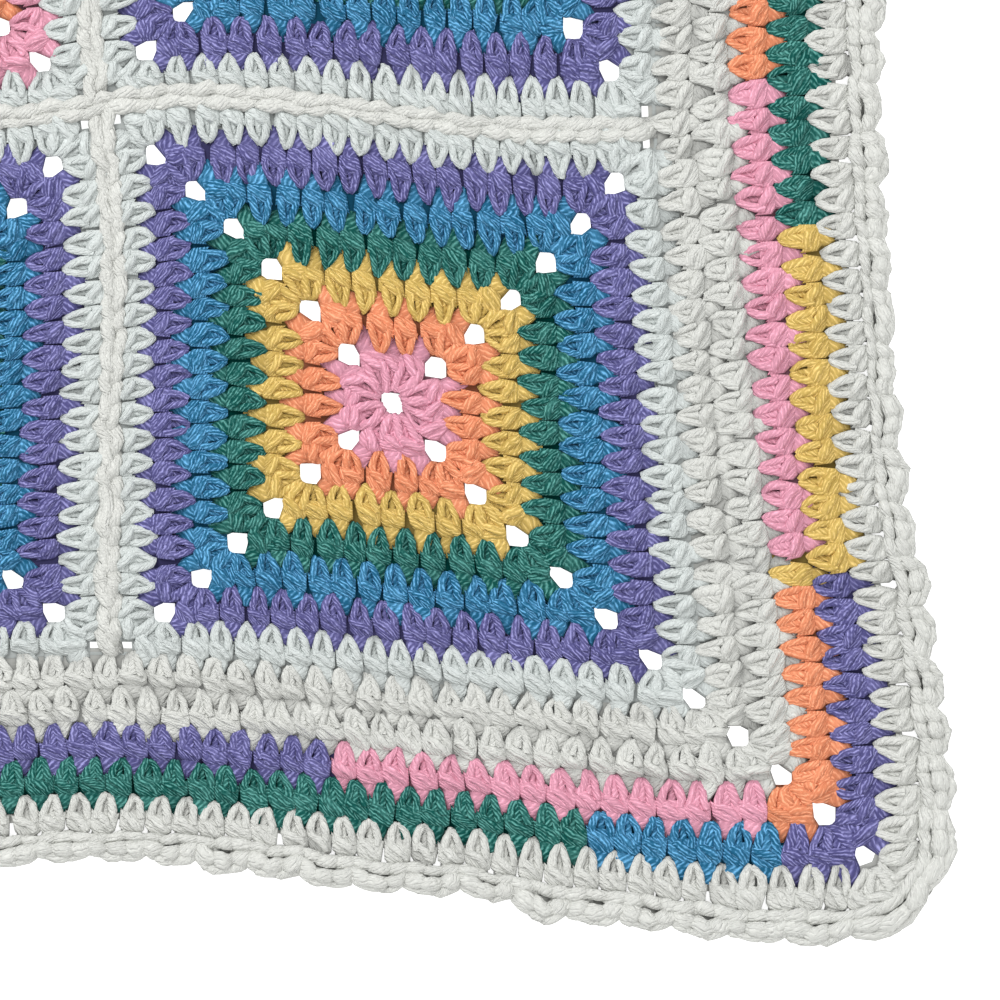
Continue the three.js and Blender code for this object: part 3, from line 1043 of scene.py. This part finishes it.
def edging():
    """One mesh of all the scallops, the same number on each side."""
    work = Yarnwork()
    variants = [edging_template() for _ in range(EDGING_VARIANTS)]
    plate = edging_plate()
    side_length = edge_frame(np.zeros(1), np.zeros(1))[1]
    ends = [FIRST_SCALLOP + SCALLOP_LENGTH * number for number in range(SIDE_SCALLOPS + 1)]
    corner_step = (side_length + FIRST_SCALLOP - ends[-1]) / CORNER_SCALLOPS
    ends += [ends[-1] + corner_step * (number + 1) for number in range(CORNER_SCALLOPS)]
    for turns in range(4):
        for start, end in zip(ends[:-1], ends[1:]):
            lobe = variants[random.integers(len(variants))]
            # The plate under each scallop takes the white darkened with painted shade.
            for (vertices, quads, uv), painted_shade in ((lobe, False), (plate, True)):
                across = start + vertices[:, 0] * (end - start) / SCALLOP_LENGTH
                past = across > side_length
                growth = 1 if painted_shade else random.normal(1, EDGING_SPREAD)
                on_this_side = np.where(past, across - side_length, across)
                flat = edge_frame(on_this_side, vertices[:, 1] * growth)[0]
                flat[past] = quarter_turns(flat[past], 1)
                moved = np.column_stack([quarter_turns(flat, turns), vertices[:, 2]])
                work.add(moved[None], quads, uv, np.array([slot_of("white", painted_shade=painted_shade)]))
    return work.mesh("border_edging", EDGING_UNEVENNESS)


border_pieces = [border_round(number) for number in range(1, BORDER_ROUNDS + 1)]
border_pieces.append(edging())
ground = border_ground()
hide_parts("border")
for piece in [*border_pieces, ground]:
    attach(piece, "root")


# ---- Seams ---------------------------------------------------------------------------------
SEAM_VARIANTS = 5
SEAM_SHAKE = 0.3
SEAM_UNEVENNESS = 0.4

# How far a seam's chain goes past its ends, to meet the border or another seam.
SEAM_OVERRUN = 2.3


def chain_link():
    """One link of the joining chain, across from 0 to STITCH_PITCH along the seam."""
    over = [(-1.8, -0.8, 1.8), (1.0, -1.5, 2.7), (4.2, -1.6, 2.9), (7.2, -0.9, 2.7),
            (8.8, 0.1, 1.8)]
    under = [(-5.3, 0.8, 1.8), (-2.5, 1.5, 2.6), (0.7, 1.6, 2.8), (3.7, 0.9, 2.6),
             (5.3, -0.1, 1.7)]
    core = [(-1.0, 0.0, 1.6), (STITCH_PITCH + 1.0, 0.0, 1.6)]
    radii = [1.3, 2.0, 2.2, 2.0, 1.3]
    return joined([
        strand(shaken(over, SEAM_SHAKE), radii, rings=7, flat=0.65,
               slant=random.normal(-0.4, 0.2)),
        strand(shaken(under, SEAM_SHAKE), radii, rings=7, flat=0.65,
               slant=random.normal(-0.4, 0.2)),
        strand(core, [3.2, 3.2], rings=2, flat=0.45),
    ])


def seam(node, start, end):
    """A joining chain in the even grid from start to end, in place of the part's node."""
    work = Yarnwork()
    variants = [chain_link() for _ in range(SEAM_VARIANTS)]
    start = np.array(start, float)
    end = np.array(end, float)
    length = np.linalg.norm(end - start)
    outward = (end - start) / length
    beside = np.array([-outward[1], outward[0]])
    links_along = round(length / STITCH_PITCH)
    step = length / links_along
    for number in range(links_along):
        vertices, quads, uv = variants[random.integers(len(variants))]
        travelled = vertices[:, 0] * step / STITCH_PITCH + number * step
        travelled = np.clip(travelled, -SEAM_OVERRUN, length + SEAM_OVERRUN)
        flat = start + travelled[:, None] * outward + vertices[:, 1:2] * beside
        moved = np.column_stack([flat, vertices[:, 2]])
        work.add(moved[None], quads, uv, np.array([slot_of("white")]))
    made = work.mesh(f"{node}_chain", SEAM_UNEVENNESS)
    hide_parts(node)
    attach(made, "root")


SEAM_REACH = CORNER_SQUARE_AT + SQUARE_HALF
for line in range(SQUARES - 1):
    level = (SQUARES / 2 - 1 - line) * SQUARE_PITCH
    seam(f"seam_across_{line + 1}", (-SEAM_REACH, level), (SEAM_REACH, level))
    for row in range(SQUARES):
        upper_end = (1 - row) * SQUARE_PITCH + SQUARE_HALF
        lower_end = (1 - row) * SQUARE_PITCH - SQUARE_HALF
        seam(f"seam_up_{line + 1}_{row + 1}", (-level, upper_end), (-level, lower_end))


# ---- Floor, light and camera ---------------------------------------------------------------
FLOOR_SIZE = 6
FLOOR_LEVEL = -0.0004
FLOOR_GREY = 0.8
FLOOR_GLOW = 0.8
WORLD_STRENGTH = 0.74

# The photograph's scale in millimetres a pixel, its side in pixels, and where in it the centre
# hole of the corner square is. The scale holds at the height CLOTH_TOP, in metres.
PHOTO_PIXEL = 0.2724
PHOTO_SIDE = 1000
PHOTO_HOLE_X = 392
PHOTO_HOLE_Y = 403
LENS = 200
SENSOR_WIDTH = 36
CLOTH_TOP = 0.003


def floor():
    """A plain floor that shines a little, so that it shows as white as the photograph's."""
    bpy.ops.mesh.primitive_plane_add(size=FLOOR_SIZE, location=(0, 0, FLOOR_LEVEL))
    plane = bpy.context.object
    plane.name = "floor"
    material = bpy.data.materials.new("floor")
    material.use_nodes = True
    shader = material.node_tree.nodes["Principled BSDF"]
    shader.inputs["Base Color"].default_value = (FLOOR_GREY, FLOOR_GREY, FLOOR_GREY, 1)
    shader.inputs["Roughness"].default_value = 1.0
    shader.inputs["Emission Color"].default_value = (1, 1, 1, 1)
    shader.inputs["Emission Strength"].default_value = FLOOR_GLOW
    plane.data.materials.append(material)


def area_light(name, location, size, power):
    """A square light that faces the middle of the blanket."""
    data = bpy.data.lights.new(name, "AREA")
    data.shape = "SQUARE"
    data.size = size
    data.energy = power
    light = bpy.data.objects.new(name, data)
    light.location = location
    light.rotation_euler = (-Vector(location)).to_track_quat("-Z", "Y").to_euler()
    bpy.context.scene.collection.objects.link(light)


def world():
    """Even white light from all round."""
    made = bpy.data.worlds.new("studio")
    made.use_nodes = True
    background = made.node_tree.nodes["Background"]
    background.inputs["Color"].default_value = (1, 1, 1, 1)
    background.inputs["Strength"].default_value = WORLD_STRENGTH
    bpy.context.scene.world = made


def camera():
    """Straight above, framing the corner square and its border as in the photograph."""
    hole = lie(np.array([[CORNER_SQUARE_AT, -CORNER_SQUARE_AT]]))[0] - MIDDLE
    centre_x = hole[0] + (PHOTO_SIDE / 2 - PHOTO_HOLE_X) * PHOTO_PIXEL
    centre_y = hole[1] - (PHOTO_SIDE / 2 - PHOTO_HOLE_Y) * PHOTO_PIXEL
    width = PHOTO_SIDE * PHOTO_PIXEL * MM
    distance = width / 2 / (SENSOR_WIDTH / 2 / LENS)
    data = bpy.data.cameras.new("camera")
    data.lens = LENS
    data.sensor_width = SENSOR_WIDTH
    made = bpy.data.objects.new("camera", data)
    made.location = (centre_x * MM, centre_y * MM, distance + CLOTH_TOP)
    bpy.context.scene.collection.objects.link(made)
    bpy.context.scene.camera = made


floor()
area_light("key", (-0.7, 0.9, 1.3), size=0.8, power=25)
area_light("fill", (0.9, -0.6, 1.4), size=1.2, power=9)
world()
bpy.context.scene.view_settings.view_transform = "Standard"
camera()
